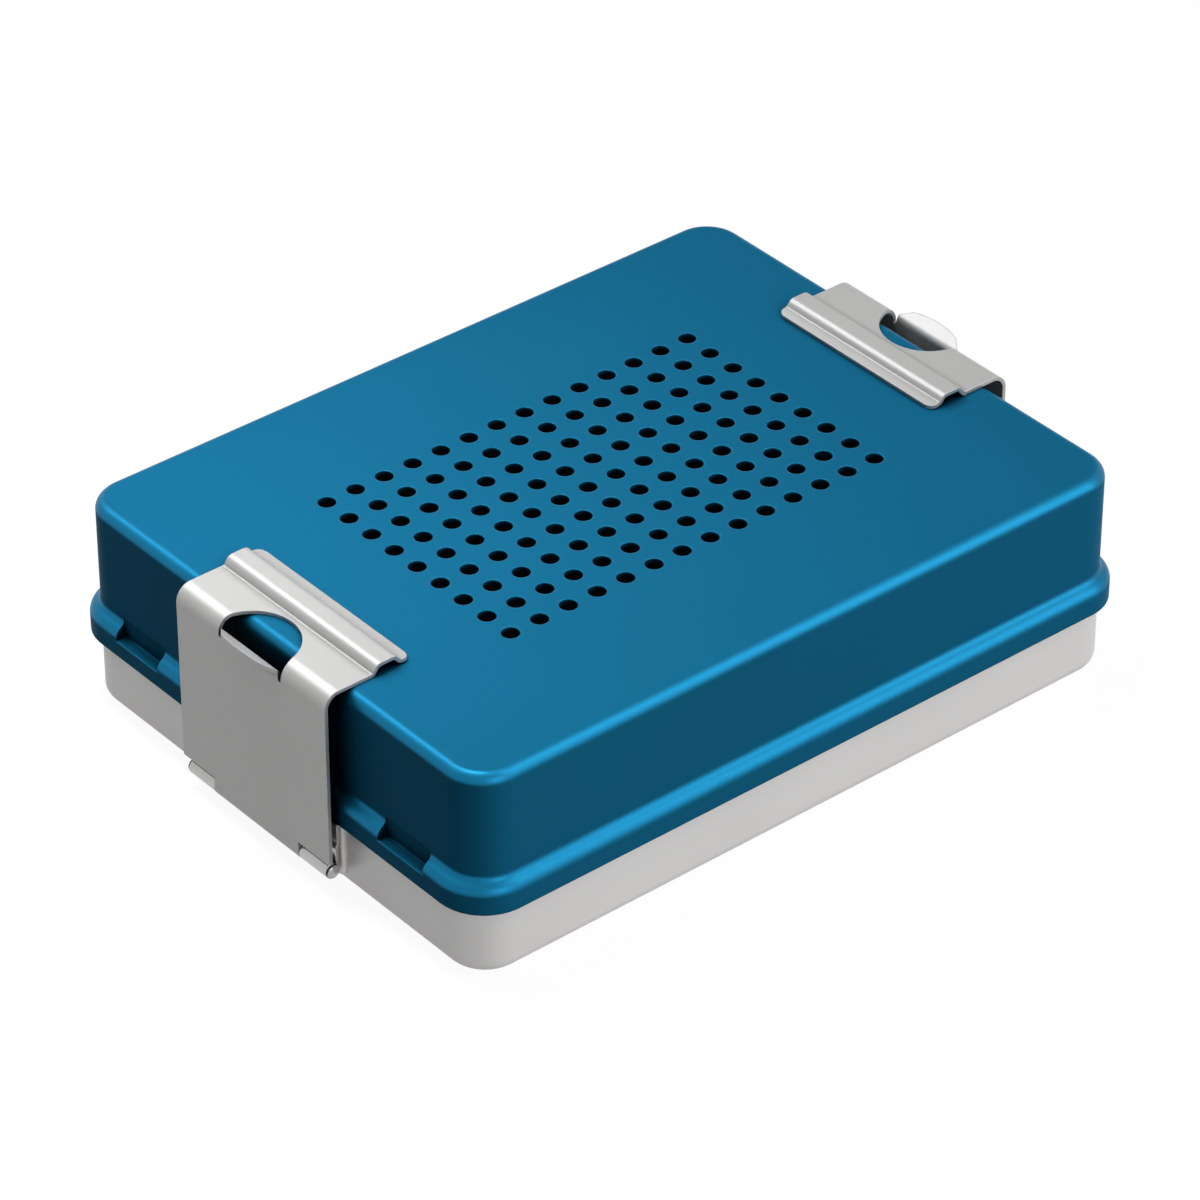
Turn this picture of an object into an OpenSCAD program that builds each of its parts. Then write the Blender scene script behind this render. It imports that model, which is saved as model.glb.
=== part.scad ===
// Dental instrument cassette: a drawn aluminium tray with a perforated lid,
// held shut by a hinged sheet-steel latch on each short side.
// Frame: X along the length, Y across, Z up. The origin is on the resting
// surface, under the middle of the tray.

/* [Body] */
// Length over the lid walls
body_l = 184; // [150:1:300]
// Width over the lid walls
body_w = 140; // [110:1:200]
// Height from the resting surface to the top of the lid
body_h = 52.5; // [45:0.5:90]
// Outside radius of the upright corners
corner_r = 9.5; // [9:0.5:20]
// Thickness of the drawn aluminium sheet
shell_t = 1.5; // [1:0.1:2]

/* [Lid] */
// Outside radius where the lid's top meets its walls
lid_edge_r = 2.9; // [2:0.1:6]
// Height of the skirt's lower edge
skirt_z = 18.1; // [15:0.1:30]
// How far the skirt stands out from the lid wall
skirt_out = 2.5; // [2:0.1:4]
// Height of the upright part of the skirt
skirt_h = 4.1; // [3:0.1:8]
// Height of the curved shoulder above the skirt
shoulder_h = 4.6; // [3.5:0.1:8]
// Radius of the hollow curve at the top of the shoulder
shoulder_r = 2.2; // [1.5:0.1:3]

/* [Perforation] */
// Holes along the length
holes_x = 14; // [6:1:18]
// Holes across the width
holes_y = 9; // [5:1:12]
// Distance between hole centres
hole_pitch = 8; // [6:0.5:10]
// Hole diameter in the lid
hole_d = 4.2; // [3:0.1:5]

/* [Shoulder pockets] */
// Width of each pocket pressed into the shoulder
pocket_w = 15.4; // [10:0.1:20]
// Distance of a pocket's middle from the middle of the short side
pocket_y = 46.9; // [38:0.1:50]
// Depth of the pocket's face behind the lid wall
pocket_in = 0.2; // [0:0.05:0.4]

/* [Tray] */
// Outside radius round the bottom edge of the tray
tray_edge_r = 3.2; // [2.5:0.1:5]
// Height of the tray's rim
rim_z = 20.25; // [18:0.05:30]
// Width of the sealing rim, turned inwards
rim_w = 6.5; // [6:0.1:8]

/* [Gasket] */
// Width of the gasket groove
groove_w = 4.7; // [3.5:0.1:5]
// Height of the gasket above its sealing bead
gasket_h = 2.7; // [2.2:0.1:3]
// Radius of the gasket's sealing bead
gasket_bead_r = 1.3; // [1:0.1:1.6]
// Thickness of the channel's sheet
channel_t = 0.8; // [0.6:0.1:1]
// Lower edge of the channel's inner leg, which centres the lid
channel_low = 15.3; // [14:0.1:19]

/* [Filter] */
// Filter sheet length
filter_l = 136; // [120:1:150]
// Filter sheet width
filter_w = 84; // [76:1:100]
// Filter sheet thickness
filter_t = 0.4; // [0.2:0.1:1]
// Distance of each stud from the middle of the lid
stud_x = 60; // [58:0.5:64]
// Stud diameter
stud_d = 4; // [3:0.1:5]
// Turn button length
button_l = 16; // [14:0.5:18]
// Turn button width
button_w = 7; // [6:0.1:7.5]

/* [Latch] */
// Width of the latch plate
latch_w = 52.2; // [40:0.1:70]
// Thickness of the latch's steel sheet
latch_t = 0.9; // [0.7:0.1:1.2]
// Width of the tongue that rolls round the hinge pin
tongue_w = 30; // [20:0.5:36]
// Height at which the plate's lower corners are cut away
plate_low = 8.7; // [8:0.1:12]
// Outside radius of the bend over the lid's edge
over_bend_r = 4; // [3:0.1:5]
// Height of the stiffening bead in the jaw
bead_h = 2; // [1.6:0.1:2.6]
// Reach of the jaw's lip over the lid, from the lid wall
jaw_reach = 17.5; // [15:0.1:20]
// Radius of the finger opening
finger_r = 11; // [9:0.1:13]
// Drop from the lid's top to the foot of the finger opening
finger_drop = 3.3; // [2.5:0.1:4]
// Outward tilt of the finger tab from upright
tab_tilt = 62; // [40:1:80]
// Width of the finger tab at its root
tab_w = 19.8; // [16:0.1:20]
// Reach of the finger tab, out from the plate
tab_reach = 2.9; // [2.6:0.1:4]

/* [Hinge] */
// Distance of the hinge pin's axis from the tray wall
pin_out = 3.55; // [3.4:0.05:4.5]
// Height of the hinge pin's axis
pin_z = 5.6; // [5:0.1:8]
// Hinge pin diameter
pin_d = 2; // [1.6:0.1:2.4]
// Width of the hinge bracket
bracket_w = 49; // [40:0.5:64]
// Thickness of the pad between bracket and tray
pad_t = 1.2; // [0.8:0.1:1.6]
// Rivet shank diameter
rivet_d = 3.2; // [2.4:0.1:4]
// Distance between rivets
rivet_pitch = 17; // [12:0.5:20]
// Height of the rivets
rivet_z = 14.5; // [14.2:0.1:14.6]

/* [Instrument tray] */
// Instrument tray length, without its rim
insert_l = 160; // [140:1:162]
// Instrument tray width, without its rim
insert_w = 116; // [104:1:118]
// Height of the instrument tray's rim
insert_top = 17.4; // [14:0.1:18]
// Distance of each instrument rail from the middle
rail_x = 44; // [30:1:55]
// Instrument places on a rail
places = 9; // [6:1:10]
// Distance between instrument places
place_pitch = 10; // [9:0.5:12]
// Length of the finger slot in each end wall
grip_l = 34; // [24:1:50]
// Height of the finger slot
grip_h = 6; // [5:0.5:7]
// Distance between the holes in the instrument tray's floor
drain_pitch = 11; // [11:0.5:12]
// Diameter of the holes in the instrument tray's floor
drain_d = 6; // [3:0.5:7]

/* [Hidden] */
$fn = 72;
half_l = body_l / 2;
half_w = body_w / 2;
skirt_top = skirt_z + skirt_h;
wall_low = skirt_top + shoulder_h;
shoulder_a = 2 * atan(skirt_out / shoulder_h);
shoulder_r2 = shoulder_h / sin(shoulder_a) - shoulder_r;
lid_under = body_h - shell_t;
pin_x = half_l + pin_out;
run_gap = 0.05;
eye_r = pin_d / 2;
jaw_z = body_h + run_gap;
plate_in = pin_out + eye_r + run_gap;
plate_out = plate_in + latch_t;
retainer_t = 0.8;
retainer_z = lid_under - filter_t - 1.2;
retainer_rim = 4;
retainer_r = 6;
slot_reach = 3;
stud_low = 3.4;
stud_head_t = 1;
pad_low = tray_edge_r + 0.2;
pad_high = skirt_z - 0.9;
pad_half = bracket_w / 2 + 0.5;
bracket_t = 0.9;
pin_head_r = 1.7;
finger_l = (bracket_w - tongue_w) / 2 - 0.2;
finger_z = body_h - finger_drop;
tab_tip_r = 30;
tab_corner_r = 1.6;
tab_taper = 53;
channel_z = rim_z + gasket_h + gasket_bead_r + run_gap;
channel_up = 5.2;
channel_down = 3;
button_top = lid_under - filter_t - 1.25;
insert_floor = 4;
insert_t = 0.8;
insert_r = 8;
insert_bend = 2;
grip_z = 11.2;
foot_d = 10;
foot_stem_d = 5;
foot_in = 7.5;
rail_w = 10;
rail_t = 1;
rail_top = insert_floor + insert_t + 9;
rail_rivet_d = 3;
comb_top = 24;
comb_pin_d = 2.4;
BLUE = [0.10, 0.44, 0.60];
ALUMINIUM = [0.78, 0.77, 0.77];
STEEL = [0.70, 0.70, 0.71];
BRIGHT = [0.82, 0.82, 0.83];
SILICONE = [0.86, 0.86, 0.84];
GREY = [0.35, 0.36, 0.38];
MEMBRANE = [0.09, 0.09, 0.10];

// ---- Sheet-metal sections -------------------------------------------------

// Bend of a sheet about the bend's centre, from a straight that ends on the
// line x = 0 to one that starts on that line turned by the given angle.
module bend(r, t, turn) {
    far = 2 * (r + t);
    intersection() {
        difference() {
            circle(r = r + t);
            circle(r = r);
        }
        if (abs(turn) > 180) union() {
            ahead(far);
            rotate(turn) mirror([1, 0]) ahead(far);
        } else intersection() {
            ahead(far);
            rotate(turn) mirror([1, 0]) ahead(far);
        }
    }
}

module ahead(far) {
    translate([0, -far]) square([far, 2 * far]);
}

// Follows a line with a sheet of thickness t on its left. Each step is
// [straight length, turn, inside bend radius]; a left turn is positive.
module follow(steps, t, i = 0) {
    if (i < len(steps)) {
        run = steps[i][0];
        turn = steps[i][1];
        r = steps[i][2];
        if (run > 0) square([run, t]);
        translate([run, 0]) {
            centre = turn > 0 ? t + r : -r;
            if (turn != 0) translate([0, centre]) {
                bend(r, t, turn);
                rotate(turn) translate([0, -centre])
                    follow(steps, t, i + 1);
            }
        }
    }
}

function heading(a, b) = atan2(b[1] - a[1], b[0] - a[0]);
function wrap(a) = a > 180 ? a - 360 : a < -180 ? a + 360 : a;
function turn_at(p, i) = i == 0 || i == len(p) - 1 ? 0
    : wrap(heading(p[i], p[i + 1]) - heading(p[i - 1], p[i]));
function setback(turn, r, t) = (turn > 0 ? t + r : r) * tan(abs(turn) / 2);

// Steps along a line through corner points, each corner bent to its own
// inside radius. The last point can be followed by a curl [turn, radius].
function bend_steps(p, r, t, curl = [0, 0]) = [for (i = [0 : len(p) - 2])
    let (a = turn_at(p, i), b = turn_at(p, i + 1), last = i == len(p) - 2)
    [norm(p[i + 1] - p[i]) - setback(a, r[i], t) - setback(b, r[i + 1], t),
     last ? curl[0] : b, last ? curl[1] : r[i + 1]]];

module bent_sheet(p, r, t, curl = [0, 0]) {
    translate(p[0]) rotate(heading(p[0], p[1]))
        follow(bend_steps(p, r, t, curl), t);
}

// ---- Shapes carried round the body ----------------------------------------

module rounded_plate(l, w, r, t) {
    linear_extrude(t) {
        square([l - 2 * r, w], center = true);
        square([l, w - 2 * r], center = true);
        for (x = [-1, 1], y = [-1, 1])
            translate([x * (l / 2 - r), y * (w / 2 - r)]) circle(r = r);
    }
}

// Carries a section round a rounded outline of l by w. In the section, x runs
// outwards from the centre of the corner radius r, and y is height.
module around(l, w, r) {
    for (k = [0 : 3]) {
        a = k % 2 == 0 ? l / 2 - r : w / 2 - r;
        b = k % 2 == 0 ? w / 2 - r : l / 2 - r;
        rotate(90 * k) {
            translate([a, b, 0]) rotate_extrude(angle = 90) children();
            translate([a, b, 0]) rotate([90, 0, 0])
                linear_extrude(2 * b) children();
        }
    }
}

// Section in (distance out from the wall, height), extruded along Y at the
// right-hand end of the body.
module end_bar(w, y = 0) {
    translate([half_l, y + w / 2, 0]) rotate([90, 0, 0])
        linear_extrude(w) children();
}

module left() {
    mirror([1, 0, 0]) children();
}

module slot(l, w, h) {
    linear_extrude(h) {
        square([l - w, w], center = true);
        for (s = [-1, 1]) translate([s * (l - w) / 2, 0]) circle(d = w);
    }
}

module dome_head(r, h) {
    ball = (r * r + h * h) / (2 * h);
    rotate_extrude() intersection() {
        translate([0, h - ball]) circle(r = ball);
        square([r, h]);
    }
}

module hole_grid(d) {
    for (i = [0 : holes_x - 1], j = [0 : holes_y - 1])
        translate([(i - (holes_x - 1) / 2) * hole_pitch,
                   (j - (holes_y - 1) / 2) * hole_pitch, 0])
            cylinder(d = d, h = 4, center = true);
}

// ---- Lid ------------------------------------------------------------------

// Solid behind the shoulder, which the pockets are pressed into.
module shoulder_backing() {
    polygon([[-shell_t, skirt_top - 1.6], [skirt_out - 0.2, skirt_top - 1.6],
        [skirt_out - shell_t / 2, skirt_top],
        [shoulder_r * (1 - cos(shoulder_a)) - 0.4,
         wall_low - shoulder_r * sin(shoulder_a) - 0.6],
        [-shell_t / 2, wall_low], [-shell_t / 2, wall_low + 1.5],
        [-shell_t, wall_low + 1.5]]);
}

module lid_shell() {
    color(BLUE) difference() {
        union() {
            translate([0, 0, lid_under])
                rounded_plate(body_l - 2 * lid_edge_r, body_w - 2 * lid_edge_r,
                    corner_r - lid_edge_r, shell_t);
            around(body_l, body_w, corner_r)
                translate([corner_r - lid_edge_r, lid_under])
                    follow([[0, -90, lid_edge_r - shell_t],
                        [body_h - lid_edge_r - wall_low, shoulder_a,
                         shoulder_r],
                        [0, -shoulder_a, shoulder_r2 - shell_t],
                        [skirt_h, 0, 0]], shell_t);
            for (s = [0, 1], y = [-1, 1]) mirror([s, 0, 0])
                end_bar(pocket_w + 2 * shell_t, y * pocket_y)
                    shoulder_backing();
        }
        translate([0, 0, body_h - shell_t / 2]) hole_grid(hole_d);
        for (s = [0, 1], y = [-1, 1]) mirror([s, 0, 0])
            translate([half_l - pocket_in, y * pocket_y - pocket_w / 2,
                       skirt_top - 0.1])
                cube([4, pocket_w, shoulder_h + 0.3]);
    }
}

module gasket_channel() {
    outer = corner_r - shell_t;
    inner = outer - channel_t - groove_w;
    color(ALUMINIUM) around(body_l, body_w, corner_r) polygon([
        [outer, channel_z - channel_down], [outer, channel_z + channel_up],
        [outer - channel_t, channel_z + channel_up],
        [outer - channel_t, channel_z + channel_t],
        [inner - channel_t, channel_z + channel_t],
        [inner - channel_t, channel_low], [inner, channel_low],
        [inner, channel_z], [outer - channel_t, channel_z],
        [outer - channel_t, channel_z - channel_down]]);
}

module lid_gasket() {
    inner = corner_r - shell_t - channel_t - groove_w;
    color(SILICONE) around(body_l, body_w, corner_r) {
        translate([inner, channel_z - gasket_h]) square([groove_w, gasket_h]);
        translate([inner + groove_w / 2, channel_z - gasket_h])
            circle(r = gasket_bead_r);
    }
}

module filter_sheet() {
    color(MEMBRANE) difference() {
        translate([0, 0, lid_under - filter_t])
            rounded_plate(filter_l - 0.6, filter_w - 0.6, 5.7, filter_t);
        for (s = [-1, 1]) translate([s * stud_x, 0, lid_under - 1])
            cylinder(d = stud_d + 2.4, h = 2);
    }
}

// Perforated plate with an upturned rim that presses the filter to the lid.
module filter_retainer() {
    top = lid_under - filter_t;
    color(STEEL) difference() {
        union() {
            translate([0, 0, retainer_z])
                rounded_plate(filter_l - retainer_rim,
                    filter_w - retainer_rim, retainer_r - 2, retainer_t);
            around(filter_l, filter_w, retainer_r)
                translate([retainer_rim, retainer_z])
                    follow([[0, 90, 0.4], [0, 0, 0]], retainer_t);
        }
        translate([0, 0, top - 1]) hole_grid(hole_d + 0.8);
        for (s = [-1, 1]) translate([s * stud_x, 0, top - slot_reach])
            rotate(90) slot(button_l + 1.6, button_w + 1, 2 * slot_reach);
    }
}

module retainer_studs() {
    color(BRIGHT) for (s = [-1, 1]) translate([s * stud_x, 0, 0]) {
        translate([0, 0, lid_under - 0.8]) cylinder(d = stud_d + 2, h = 0.8);
        translate([0, 0, button_top - stud_low])
            cylinder(d = stud_d, h = lid_under - button_top + stud_low - 0.4);
        translate([0, 0, button_top - stud_low - stud_head_t])
            cylinder(d = stud_d + 2.4, h = stud_head_t);
    }
}

// Quarter-turn button with two finger ribs. Across the slot it holds the
// retainer up; in line with the slot it lets the retainer come down.
module turn_button(s) {
    color(GREY) translate([s * stud_x, 0, 0]) difference() {
        union() {
            translate([0, 0, button_top - 2]) slot(button_l, button_w, 2);
            translate([0, 0, button_top - 3.35])
                cylinder(d = button_w, h = 2);
            for (k = [-1, 1]) translate([k * (button_l / 2 - 2.6), 0,
                                         button_top - 5.4])
                slot(3.4, 2, 4.4);
        }
        translate([0, 0, button_top - 8])
            cylinder(d = stud_d + 2 * run_gap, h = 12);
    }
}

// ---- Tray -----------------------------------------------------------------

module rivet_places() {
    for (k = [-1 : 1]) translate([half_l, k * rivet_pitch, rivet_z])
        rotate([0, 90, 0]) children();
}

module tray_shell() {
    color(ALUMINIUM) difference() {
        union() {
            rounded_plate(body_l - 2 * tray_edge_r, body_w - 2 * tray_edge_r,
                corner_r - tray_edge_r, shell_t);
            around(body_l, body_w, corner_r)
                translate([corner_r - tray_edge_r, 0])
                    follow([[0, 90, tray_edge_r - shell_t],
                        [rim_z - tray_edge_r - shell_t - 0.3, 90, 0.3],
                        [rim_w - shell_t - 0.3, 0, 0]], shell_t);
        }
        for (s = [0, 1]) mirror([s, 0, 0]) rivet_places()
            cylinder(d = rivet_d, h = 8, center = true);
    }
}

module hinge_pad() {
    r = pad_t - 0.2;
    color(ALUMINIUM) difference() {
        translate([half_l, 0, pad_low]) linear_extrude(pad_high - pad_low) {
            translate([0, -pad_half]) square([pad_t - r, 2 * pad_half]);
            translate([0, r - pad_half]) square([pad_t, 2 * (pad_half - r)]);
            for (s = [-1, 1]) intersection() {
                translate([pad_t - r, s * (pad_half - r)]) circle(r = r);
                translate([0, -bracket_w]) square([4, 2 * bracket_w]);
            }
        }
        rivet_places() cylinder(d = rivet_d, h = 8, center = true);
    }
}

// Leaf riveted over the pad, joggled out to two knuckles rolled on the pin.
module hinge_bracket() {
    leaf = pin_out - eye_r - bracket_t;
    joggle_z = rivet_z - 2.6;
    color(STEEL) difference() {
        union() {
            for (s = [-1, 1])
                end_bar(finger_l, s * (bracket_w - finger_l) / 2)
                    bent_sheet([[pad_t, pad_high - 0.2], [pad_t, joggle_z],
                        [leaf, joggle_z - 1], [leaf, pin_z]],
                        [0, 0.3, 0.3, 0], bracket_t, [290, eye_r]);
            end_bar(bracket_w) translate([pad_t, joggle_z])
                square([bracket_t, pad_high - 0.2 - joggle_z]);
        }
        rivet_places() cylinder(d = rivet_d, h = 12, center = true);
    }
}

module hinge_rivets() {
    color(BRIGHT) rivet_places() {
        translate([0, 0, -shell_t - 0.1])
            cylinder(d = rivet_d, h = shell_t + pad_t + bracket_t + 0.2);
        translate([0, 0, pad_t + bracket_t]) dome_head(2.4, 1.1);
        translate([0, 0, -shell_t]) mirror([0, 0, 1])
            cylinder(d = 4.8, h = 0.8);
    }
}

module hinge_pin() {
    color(BRIGHT) translate([pin_x, 0, pin_z]) rotate([90, 0, 0]) {
        cylinder(d = pin_d, h = bracket_w + 1, center = true);
        for (s = [0, 1]) mirror([0, 0, s])
            translate([0, 0, bracket_w / 2 + 0.5]) dome_head(pin_head_r, 0.6);
    }
}

// ---- Latch ----------------------------------------------------------------

// Outline of the finger tab, seen from above: its sides taper to a bowed tip.
module tab_outline() {
    r = tab_corner_r;
    tip = plate_out + tab_reach;
    reach = tab_reach - r - 0.4;
    centre = [plate_out + reach, tab_w / 2
        - (r + reach * sin(tab_taper)) / cos(tab_taper)];
    half = [[0, tab_w / 2], [plate_out, tab_w / 2],
        centre + r * [sin(tab_taper), cos(tab_taper)], centre,
        [tip, centre[1]]];
    intersection() {
        translate([tip - tab_tip_r, 0]) circle(r = tab_tip_r);
        union() {
            polygon([for (s = [1, -1], i = [0 : 4])
                let (p = half[s > 0 ? i : 4 - i]) [p[0], s * p[1]]]);
            for (s = [-1, 1]) translate([centre[0], s * centre[1]])
                circle(r = r);
        }
    }
}

module latch() {
    t = latch_t;
    lip_r = 1.8;
    color(STEEL) {
        difference() {
            // sloping lip, raised crown, flat, bend over the edge, plate
            end_bar(latch_w) bent_sheet([[-jaw_reach, jaw_z],
                [3 - jaw_reach, jaw_z + bead_h - 1.5],
                [4.2 - jaw_reach, jaw_z + bead_h],
                [8.2 - jaw_reach, jaw_z + bead_h], [9.7 - jaw_reach, jaw_z],
                [plate_in, jaw_z], [plate_in, pin_z]],
                [0, 0.5, 1.1, 1.1, 0.5, over_bend_r - t, 0], t,
                [-290, eye_r + run_gap]);
            // lower corners, which make room for the bracket's knuckles
            for (s = [-1, 1]) translate([half_l, s * (tongue_w / 2 + 10), 0])
                translate([0, -10, 0]) cube([10, 20, plate_low]);
            // rounded corners of the lip
            for (s = [-1, 1]) translate([half_l - jaw_reach, s * latch_w / 2,
                                         body_h])
                difference() {
                    translate([-1, -lip_r, -1]) cube([1 + lip_r, 2 * lip_r, 4]);
                    translate([lip_r, -s * lip_r, -2])
                        cylinder(r = lip_r, h = 6);
                }
            // finger opening
            translate([half_l + plate_out - 0.5, 0, finger_z + 0.4])
                cylinder(r = finger_r, h = 10);
            for (s = [-1, 1]) translate([half_l + plate_in, s
                * (finger_r / 2 + tab_w / 4), finger_z]) {
                w = finger_r - tab_w / 2;
                translate([-1, -w / 2, 0]) cube([3, w, 3]);
                rotate([0, 90, 0]) cylinder(d = w, h = 4, center = true);
            }
        }
        intersection() {
            end_bar(tab_w) translate([plate_out, finger_z]) rotate(90)
                follow([[0.4, -tab_tilt, 1.2], [8, 0, 0]], t);
            translate([half_l, 0, finger_z - 1]) linear_extrude(12)
                tab_outline();
        }
    }
}

// ---- Instrument tray ------------------------------------------------------

module insert_holes() {
    for (i = [-6 : 6], j = [-4 : 4]) if (abs(i) != 4)
        translate([i * drain_pitch, j * drain_pitch, insert_floor])
            cylinder(d = drain_d, h = 5 * insert_t, center = true);
}

module foot_places() {
    for (x = [-1, 1], y = [-1, 1])
        translate([x * (insert_l / 2 - foot_in), y * (insert_w / 2 - foot_in),
                   insert_floor]) children();
}

module rail_rivet_places() {
    for (x = [-1, 1], y = [-1, 1])
        translate([x * rail_x, y * (insert_w / 2 - 6.2), insert_floor])
            children();
}

module instrument_tray() {
    r = insert_r;
    bend = insert_bend;
    color(BRIGHT) difference() {
        union() {
            translate([0, 0, insert_floor])
                rounded_plate(insert_l - 2 * (bend + insert_t),
                    insert_w - 2 * (bend + insert_t), r - bend - insert_t,
                    insert_t);
            around(insert_l, insert_w, r)
                translate([r - bend - insert_t, insert_floor])
                    follow([[0, 90, bend],
                        [insert_top - insert_floor - bend - insert_t - 1.3,
                         -90, 0.5],
                        [1.5, 0, 0]], insert_t);
        }
        insert_holes();
        for (k = [-1, 1]) translate([k * insert_l / 2, 0, grip_z])
            rotate([90, 0, 90]) translate([0, 0, -2]) slot(grip_l, grip_h, 4);
        foot_places()
            cylinder(d = foot_stem_d, h = 5 * insert_t, center = true);
        rail_rivet_places()
            cylinder(d = rail_rivet_d, h = 5 * insert_t, center = true);
    }
}

module instrument_tray_feet() {
    color(SILICONE) foot_places() {
        translate([0, 0, shell_t - insert_floor])
            cylinder(d = foot_d, h = insert_floor - shell_t);
        translate([0, 0, -0.1]) cylinder(d = foot_stem_d, h = insert_t + 0.2);
        translate([0, 0, insert_t]) dome_head(foot_stem_d / 2 + 1.5, 1.4);
    }
}

module rail(s) {
    base = insert_floor + insert_t;
    l = insert_w - 6;
    color(BRIGHT) difference() {
        translate([s * rail_x, l / 2, 0]) rotate([90, 0, 0])
            linear_extrude(l)
                bent_sheet([[-rail_w / 2, rail_top], [-rail_w / 2, base],
                    [rail_w / 2, base], [rail_w / 2, rail_top]],
                    [0, 0.6, 0.6, 0], rail_t);
        rail_rivet_places()
            cylinder(d = rail_rivet_d, h = 8 * rail_t, center = true);
        comb_pin_places()
            cylinder(d = comb_pin_d, h = 2 * rail_w, center = true);
    }
}

module rail_rivets() {
    color(BRIGHT) rail_rivet_places() {
        translate([0, 0, -0.1])
            cylinder(d = rail_rivet_d, h = insert_t + rail_t + 0.2);
        translate([0, 0, insert_t + rail_t])
            dome_head(rail_rivet_d / 2 + 0.9, 1);
        mirror([0, 0, 1]) cylinder(d = rail_rivet_d + 1.4, h = 0.7);
    }
}

module comb_pin_places() {
    for (x = [-1, 1], y = [-1 : 1])
        translate([x * rail_x, y * 3.5 * place_pitch, rail_top - 3])
            rotate([0, 90, 0]) children();
}

// Silicone comb: one round-bottomed slot for each instrument.
module comb(s) {
    base = insert_floor + insert_t + rail_t + 0.6;
    l = places * place_pitch + 2;
    color(SILICONE) difference() {
        translate([s * rail_x - rail_w / 2 + rail_t, -l / 2, base])
            cube([rail_w - 2 * rail_t, l, comb_top - base]);
        for (k = [0 : places - 1]) translate([s * rail_x,
            (k - (places - 1) / 2) * place_pitch, comb_top - 6]) {
            rotate([0, 90, 0])
                cylinder(d = place_pitch - 3, h = rail_w, center = true);
            translate([-rail_w / 2, -(place_pitch - 3) / 2, 0])
                cube([rail_w, place_pitch - 3, 8]);
        }
        comb_pin_places()
            cylinder(d = comb_pin_d, h = 2 * rail_w, center = true);
    }
}

module comb_pins() {
    color(BRIGHT) comb_pin_places() {
        cylinder(d = comb_pin_d, h = rail_w + 0.2, center = true);
        for (k = [0, 1]) mirror([0, 0, k]) translate([0, 0, rail_w / 2])
            dome_head(comb_pin_d / 2 + 0.8, 0.7);
    }
}

lid_shell();
gasket_channel();
lid_gasket();
filter_sheet();
filter_retainer();
retainer_studs();
turn_button(-1);  // left_turn_button
turn_button(1);  // right_turn_button
tray_shell();
left() hinge_pad();  // left_hinge_pad
hinge_pad();  // right_hinge_pad
left() hinge_bracket();  // left_hinge_bracket
hinge_bracket();  // right_hinge_bracket
left() hinge_rivets();  // left_hinge_rivets
hinge_rivets();  // right_hinge_rivets
left() hinge_pin();  // left_hinge_pin
hinge_pin();  // right_hinge_pin
left() latch();  // left_latch
latch();  // right_latch
instrument_tray();
instrument_tray_feet();
rail(-1);  // left_rail
rail(1);  // right_rail
rail_rivets();
comb(-1);  // left_comb
comb(1);  // right_comb
comb_pins();
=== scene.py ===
"""Looks for the dental instrument cassette: materials, floor, light, camera.

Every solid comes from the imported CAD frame, in metres, with its origin on the
resting surface under the middle of the tray, +X along the length and +Z up.
"""

import math

import bpy
from mathutils import Matrix, Vector

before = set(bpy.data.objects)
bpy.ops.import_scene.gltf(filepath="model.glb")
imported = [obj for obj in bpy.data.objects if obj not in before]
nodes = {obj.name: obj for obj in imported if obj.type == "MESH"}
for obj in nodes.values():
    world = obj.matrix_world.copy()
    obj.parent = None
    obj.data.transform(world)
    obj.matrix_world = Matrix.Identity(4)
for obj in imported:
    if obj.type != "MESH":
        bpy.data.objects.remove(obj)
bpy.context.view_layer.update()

MM = 0.001


def srgb(red, green, blue):
    """A colour as seen on a screen, 0 to 255, as the linear values that shaders take."""
    def linear(c):
        c /= 255
        return c / 12.92 if c <= 0.04045 else ((c + 0.055) / 1.055) ** 2.4

    return (linear(red), linear(green), linear(blue), 1.0)


LID_BLUE = srgb(24, 112, 151)
# Lighter blue for the edges: partly wear, partly a painted highlight.
LID_BLUE_WORN_HIGHLIGHT = srgb(60, 155, 195)
TRAY_GREY = srgb(246, 245, 244)
STEEL = srgb(189, 189, 188)
BRIGHT_STEEL = srgb(212, 212, 213)
SILICONE = srgb(222, 223, 219)
# Near black: painted shade seen through the holes, not the sheet's own colour.
FILTER_PAINTED_SHADE = srgb(6, 6, 7)
BUTTON_GREY = srgb(70, 73, 77)
FLOOR_GREY = (0.13, 0.13, 0.13, 1)
WHITE = (1, 1, 1, 1)

# The colour sockets of a Mix node: its amount, and the two colours that it mixes.
MIX_AMOUNT, MIX_FIRST, MIX_SECOND = 0, 6, 7


class Tree:
    """A node tree, with short calls for the nodes used here."""

    def __init__(self, tree):
        self.tree = tree
        self.tree.nodes.clear()

    def node(self, kind, inputs=None, **settings):
        made = self.tree.nodes.new("ShaderNode" + kind)
        for key, value in settings.items():
            setattr(made, key, value)
        for key, value in (inputs or {}).items():
            self.set(made.inputs[key], value)
        return made

    def set(self, socket, value):
        if isinstance(value, bpy.types.NodeSocket):
            self.tree.links.new(value, socket)
        else:
            socket.default_value = value

    def math(self, operation, *values, clamp=False):
        made = self.node("Math", operation=operation, use_clamp=clamp)
        for socket, value in zip(made.inputs, values):
            self.set(socket, value)
        return made.outputs[0]

    def between(self, value, low, high, out_low=0.0, out_high=1.0):
        """Value's range low to high spread over out_low to out_high, and cut off there."""
        return self.node("MapRange", {
            "Value": value, "From Min": low, "From Max": high,
            "To Min": out_low, "To Max": out_high,
        }).outputs[0]

    def backdrop_rays(self):
        """1 for the rays that show the backdrop itself: seen, mirrored or through glass."""
        path = self.node("LightPath")
        seen = self.math("ADD", path.outputs["Is Camera Ray"], path.outputs["Is Glossy Ray"])
        return self.math("ADD", seen, path.outputs["Is Transmission Ray"], clamp=True)


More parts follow.
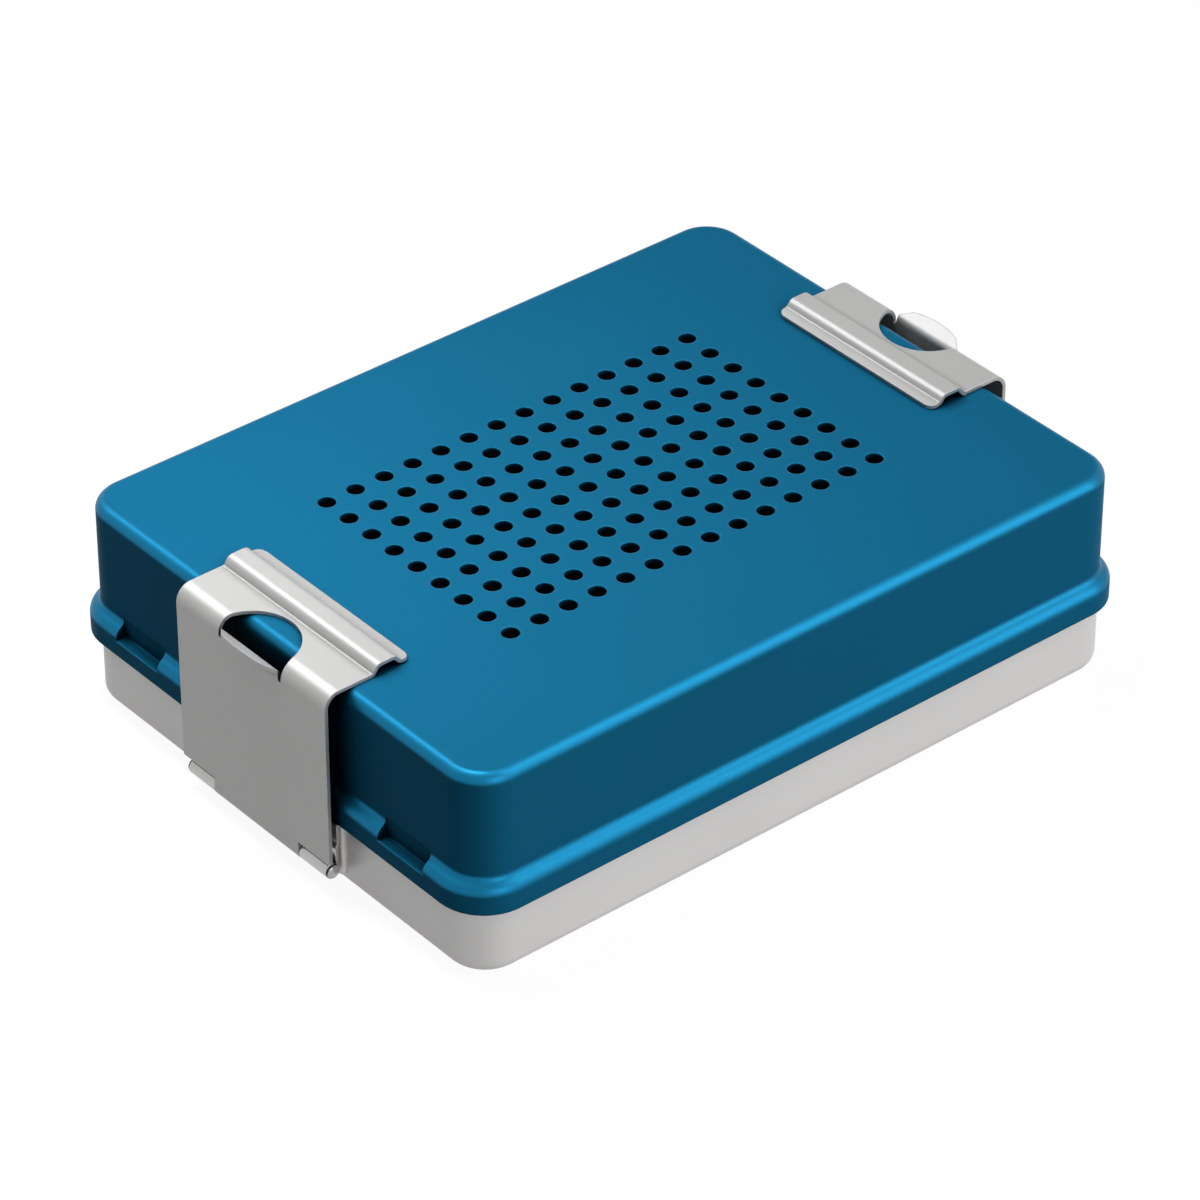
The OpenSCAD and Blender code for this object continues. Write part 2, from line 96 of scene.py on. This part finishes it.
class Shader(Tree):
    """One material's node tree."""

    def __init__(self, name):
        self.material = bpy.data.materials.new(name)
        self.material.use_nodes = True
        super().__init__(self.material.node_tree)
        self.output = self.node("OutputMaterial")
        self.place = self.node("TexCoord").outputs["Object"]

    def noise(self, size, detail=2.0, stretch=(1, 1, 1)):
        """Noise whose features are about size metres across, longer along an axis by its stretch."""
        scaled = self.node("Mapping", {
            "Vector": self.place,
            "Scale": [1 / (size * s) for s in stretch],
        })
        return self.node("TexNoise", {
            "Vector": scaled.outputs[0],
            "Scale": 1.0,
            "Detail": detail,
            "Roughness": 0.5,
        }).outputs[0]

    def mix(self, amount, first, second, blend="MIX"):
        made = self.node("Mix", data_type="RGBA", blend_type=blend, clamp_factor=True)
        self.set(made.inputs[MIX_AMOUNT], amount)
        self.set(made.inputs[MIX_FIRST], first)
        self.set(made.inputs[MIX_SECOND], second)
        return made.outputs[2]

    def tinted(self, colour, amount, dark, light):
        """Colour times a grey that runs from dark to light with the 0 to 1 value amount."""
        return self.mix(1.0, colour, self.between(amount, 0, 1, dark, light), "MULTIPLY")

    def soft_edges(self, radius):
        """Normals that round off each sharp edge by radius."""
        return self.node("Bevel", {"Radius": radius}, samples=4).outputs[0]

    def edge_mask(self, rounded):
        """1 where the rounded normals leave the true ones, along the edges."""
        barely_off, well_off = 0.995, 0.85
        true = self.node("NewGeometry").outputs["Normal"]
        same = self.node("VectorMath", operation="DOT_PRODUCT")
        self.set(same.inputs[0], rounded)
        self.set(same.inputs[1], true)
        return self.between(same.outputs["Value"], barely_off, well_off)

    def bends(self, rounded):
        """1 where the sheet slopes, as on a bend: neither level nor upright."""
        upright, off_upright = 0.12, 0.36
        level, off_level = 0.985, 0.90
        up = self.node("SeparateXYZ", {"Vector": rounded}).outputs["Z"]
        return self.math("MINIMUM", self.between(up, upright, off_upright),
                         self.between(up, level, off_level))

    def corner_shade_mask(self, reach, shut, wide, own_folds=False):
        """0 in a corner that surfaces close in on, 1 in the open, a mask for painted shade; own_folds
        leaves other pieces out.
        """
        open_air = self.node("AmbientOcclusion", {"Distance": reach},
                             samples=6, only_local=own_folds).outputs["AO"]
        return self.between(open_air, shut, wide)

    def bump(self, height, distance, strength, normal=None):
        made = self.node("Bump", {
            "Height": height, "Distance": distance, "Strength": strength})
        if normal is not None:
            self.set(made.inputs["Normal"], normal)
        return made.outputs[0]

    def finish(self, **surface):
        """The material, its surface given by a Principled shader's sockets."""
        inputs = {key.replace("_", " "): value for key, value in surface.items()}
        shader = self.node("BsdfPrincipled", inputs)
        self.set(self.output.inputs[0], shader.outputs[0])
        return self.material


def anodised_lid():
    """Satin blue: nearly matt on the flats, metallic on the bends, with painted shade in narrow gaps
    and beside other parts.
    """
    flat_metal, bend_metal = 0.03, 0.80
    flat_rough, bend_rough = 0.38, 0.40
    gap_reach, gap_shade = 12 * MM, 0.05
    s = Shader("lid_blue")
    rounded = s.soft_edges(0.6 * MM)
    cloud = s.noise(38 * MM, detail=3)
    grain = s.noise(0.35 * MM, detail=3)
    patches = s.between(s.noise(3 * MM, detail=4), 0.42, 0.72, 0.15, 0.6)
    # Lighter blue along the rounded edges in patches: partly wear, partly a painted highlight on the
    # edges.
    wear_and_highlight = s.math("MULTIPLY", s.edge_mask(rounded), patches)
    colour = s.mix(wear_and_highlight, s.tinted(LID_BLUE, cloud, 0.96, 1.04), LID_BLUE_WORN_HIGHLIGHT)
    # Painted shade: the blue darkens where surfaces close in, in gaps and beside the latch plates.
    colour = s.tinted(colour, s.corner_shade_mask(gap_reach, 0.34, 0.85), gap_shade, 1.0)
    bends = s.bends(rounded)
    rough = s.math("ADD", s.between(grain, 0.3, 0.7, -0.04, 0.04),
                   s.between(bends, 0, 1, flat_rough, bend_rough))
    return s.finish(
        Base_Color=colour, Metallic=s.between(bends, 0, 1, flat_metal, bend_metal),
        Roughness=rough, Specular_IOR_Level=0.005,
        Normal=s.bump(grain, 0.02 * MM, 0.2, rounded))


def satin_aluminium():
    """Pale drawn aluminium, with faint upright draw lines."""
    draw_length = 30
    s = Shader("satin_aluminium")
    rounded = s.soft_edges(0.3 * MM)
    cloud = s.noise(45 * MM, detail=3)
    drawn = s.noise(0.5 * MM, detail=4, stretch=(1, 1, draw_length))
    grain = s.noise(0.3 * MM, detail=2)
    texture = s.math("ADD", drawn, grain)
    return s.finish(
        Base_Color=s.tinted(TRAY_GREY, cloud, 0.95, 1.04), Metallic=0.28,
        Roughness=s.between(texture, 0.7, 1.3, 0.38, 0.5),
        Specular_IOR_Level=0.1,
        Normal=s.bump(texture, 0.012 * MM, 0.3, rounded))


def brushed_steel(name, colour, roughness, along, brush=0.35, metal=0.40):
    """Stainless sheet with brush lines along an axis, a few longer scratches across them, a painted
    highlight with some wear along the edges, and painted shade in its own folds.
    """
    brush_length, scratch_length = 40, 25
    brush_rough, scratch_rough = 0.07, 0.12
    line_share, cloud_share, edge_highlight_share = 0.6, 0.4, 0.7
    fold_reach, fold_shade = 2.5 * MM, 0.08
    s = Shader(name)
    rounded = s.soft_edges(0.3 * MM)
    cloud = s.noise(22 * MM, detail=3)
    lines = s.noise(0.22 * MM, detail=4, stretch=[
        brush_length if axis == along else 1 for axis in "XYZ"])
    scratch = s.between(s.noise(0.5 * MM, detail=1, stretch=[
        1 if axis == along else scratch_length for axis in "XYZ"]), 0.70, 0.76)
    rough = s.math("ADD", s.between(lines, 0.3, 0.7, roughness - brush_rough,
                                    roughness + brush_rough),
                   s.math("MULTIPLY", scratch, scratch_rough))
    shade = s.tinted(colour, s.math("ADD", s.math("MULTIPLY", lines, line_share),
                                    s.math("MULTIPLY", cloud, cloud_share)),
                     0.86, 1.12)
    # Edges lightened towards bright steel: a painted highlight, partly wear.
    edges = s.math("MULTIPLY", s.edge_mask(rounded), edge_highlight_share)
    shade = s.mix(edges, shade, BRIGHT_STEEL)
    # Painted shade: the steel darkens in the sheet's own folds and creases.
    painted_fold_shade = s.corner_shade_mask(fold_reach, 0.62, 0.98, own_folds=True)
    return s.finish(
        Base_Color=s.tinted(shade, painted_fold_shade, fold_shade, 1.0), Metallic=metal,
        Roughness=rough, Specular_IOR_Level=0.1,
        Normal=s.bump(lines, 0.012 * MM, brush, rounded))


def silicone():
    """Soft, slightly see-through rubber with a matt skin."""
    s = Shader("silicone")
    rounded = s.soft_edges(0.5 * MM)
    cloud = s.noise(9 * MM, detail=3)
    skin = s.noise(0.18 * MM, detail=3)
    return s.finish(
        Base_Color=s.tinted(SILICONE, cloud, 0.94, 1.03),
        Roughness=s.between(skin, 0.3, 0.7, 0.5, 0.62),
        Specular_IOR_Level=0.4, Subsurface_Weight=0.25,
        Subsurface_Radius=(2.2 * MM, 2.0 * MM, 1.8 * MM),
        Subsurface_Scale=1.0,
        Normal=s.bump(skin, 0.02 * MM, 0.3, rounded))


def filter_membrane():
    """Felted sheet coloured near black as painted shade for the holes above it, without any gloss."""
    s = Shader("filter_dark")
    felt = s.noise(0.12 * MM, detail=4)
    cloud = s.noise(6 * MM, detail=3)
    return s.finish(
        Base_Color=s.tinted(FILTER_PAINTED_SHADE, s.math("MULTIPLY", felt, cloud), 0.7, 1.6),
        Roughness=0.9, Specular_IOR_Level=0.0,
        Normal=s.bump(felt, 0.05 * MM, 0.5))


def moulded_plastic():
    """Dark grey plastic with a spark-eroded grain."""
    s = Shader("button_grey")
    rounded = s.soft_edges(0.4 * MM)
    spark = s.noise(0.15 * MM, detail=3)
    cloud = s.noise(5 * MM)
    return s.finish(
        Base_Color=s.tinted(BUTTON_GREY, cloud, 0.9, 1.1),
        Roughness=s.between(spark, 0.3, 0.7, 0.42, 0.58),
        Normal=s.bump(spark, 0.02 * MM, 0.35, rounded))


LID = anodised_lid()
TRAY = satin_aluminium()
LATCH = brushed_steel("latch_steel", STEEL, 0.36, "Z")
BRACKET = brushed_steel("bracket_steel", STEEL, 0.20, "Y", metal=0.80)
POLISHED = brushed_steel("polished_steel", BRIGHT_STEEL, 0.22, "X", brush=0.15)
INSERT = brushed_steel("insert_steel", BRIGHT_STEEL, 0.28, "X", brush=0.25)
RUBBER = silicone()
FILTER = filter_membrane()
BUTTON = moulded_plastic()

FINISH = {
    "lid_shell": LID,
    "gasket_channel": TRAY,
    "lid_gasket": RUBBER,
    "filter_sheet": FILTER,
    "filter_retainer": INSERT,
    "retainer_studs": POLISHED,
    "left_turn_button": BUTTON,
    "right_turn_button": BUTTON,
    "tray_shell": TRAY,
    "left_hinge_pad": TRAY,
    "right_hinge_pad": TRAY,
    "left_hinge_bracket": BRACKET,
    "right_hinge_bracket": BRACKET,
    "left_hinge_rivets": POLISHED,
    "right_hinge_rivets": POLISHED,
    "left_hinge_pin": POLISHED,
    "right_hinge_pin": POLISHED,
    "left_latch": LATCH,
    "right_latch": LATCH,
    "instrument_tray": INSERT,
    "instrument_tray_feet": RUBBER,
    "left_rail": INSERT,
    "right_rail": INSERT,
    "rail_rivets": POLISHED,
    "left_comb": RUBBER,
    "right_comb": RUBBER,
    "comb_pins": POLISHED,
}
for name, node in nodes.items():
    node.data.materials.clear()
    node.data.materials.append(FINISH[name])


def pale_floor():
    """A pale floor that keeps the object's soft shadow, is white where nothing shades it,
    and is clear from below, so that views of the underside aren't blocked."""
    glow_share = 0.92
    half_width = 4.0
    below_object = 0.02 * MM
    s = Shader("pale_floor")
    diffuse = s.node("BsdfDiffuse", {"Color": FLOOR_GREY})
    glow = s.node("Emission", {
        "Color": WHITE, "Strength": s.math("MULTIPLY", s.backdrop_rays(), glow_share)})
    both = s.node("AddShader")
    s.set(both.inputs[0], diffuse.outputs[0])
    s.set(both.inputs[1], glow.outputs[0])
    surface = s.node("MixShader", {"Fac": s.node("NewGeometry").outputs["Backfacing"]})
    s.set(surface.inputs[1], both.outputs[0])
    s.set(surface.inputs[2], s.node("BsdfTransparent").outputs[0])
    s.set(s.output.inputs[0], surface.outputs[0])
    corners = [(x * half_width, y * half_width, 0)
               for x, y in ((-1, -1), (1, -1), (1, 1), (-1, 1))]
    mesh = bpy.data.meshes.new("floor")
    mesh.from_pydata(corners, [], [(0, 1, 2, 3)])
    mesh.materials.append(s.material)
    floor = bpy.data.objects.new("floor", mesh)
    floor.location.z = -below_object
    bpy.context.scene.collection.objects.link(floor)


def soft_world(fill):
    """Even fill light of the given strength, seen as white."""
    world = bpy.data.worlds.new("studio")
    bpy.context.scene.world = world
    world.use_nodes = True
    w = Tree(world.node_tree)
    light = w.node("Background", {
        "Color": WHITE, "Strength": w.between(w.backdrop_rays(), 0, 1, fill, 1)})
    w.node("OutputWorld", {"Surface": light.outputs[0]})


def softbox(name, towards, distance, width, height, level,
            target=(0, 0, 30 * MM), spread=180):
    """A lamp whose light on a surface that faces it has the given level, 1 being full."""
    aim = Vector(target)
    place = aim + Vector(towards).normalized() * distance
    lamp = bpy.data.lights.new(name, "AREA")
    lamp.shape = "RECTANGLE"
    lamp.size = width
    lamp.size_y = height
    lamp.energy = level * (math.pi * distance) ** 2
    lamp.spread = math.radians(spread)
    box = bpy.data.objects.new(name, lamp)
    box.location = place
    box.rotation_euler = (aim - place).to_track_quat("-Z", "Y").to_euler()
    bpy.context.scene.collection.objects.link(box)


def camera():
    """The photograph's view: azimuth from -Y towards +X, elevation above the floor."""
    azimuth, elevation, roll = (math.radians(a) for a in (-39.80, 35.30, 0.04))
    distance = 1.2987
    aim = Vector((-5.9, -6.4, 26.25)) * MM
    back = Vector((math.sin(azimuth) * math.cos(elevation),
                   -math.cos(azimuth) * math.cos(elevation),
                   math.sin(elevation)))
    lens = bpy.data.cameras.new("camera")
    lens.lens = 175.36
    lens.sensor_width = 36
    lens.clip_start = 0.01
    eye = bpy.data.objects.new("camera", lens)
    turn = (-back).to_track_quat("-Z", "Y").to_matrix().to_4x4()
    eye.matrix_world = (Matrix.Translation(aim + back * distance) @ turn
                        @ Matrix.Rotation(roll, 4, "Z"))
    bpy.context.scene.collection.objects.link(eye)
    bpy.context.scene.camera = eye


pale_floor()
soft_world(fill=0.015)
softbox("overhead", (-0.05, 0.10, 1.00), distance=1.1, width=0.40, height=0.40, level=0.06)
softbox("back_top", (-0.06, 0.63, 0.77), distance=1.1, width=0.85, height=0.42, level=0.35)
# The tall lamp whose mirror image is the bright line along the long side's bends.
softbox("front_right", (0.53, -0.63, 0.57), distance=1.3, width=0.34, height=1.60, level=0.45)
softbox("front_left", (-0.14, -0.90, 0.36), distance=1.1, width=0.60, height=0.60, level=0.22)
# A narrow beam on the left end of the lid's top.
softbox("over_left", (0.05, 0.10, 1.00), distance=0.50, width=0.12, height=0.12, level=0.075,
        target=(-0.12, 0.035, 0.05), spread=60)
camera()
bpy.context.scene.view_settings.view_transform = "Standard"
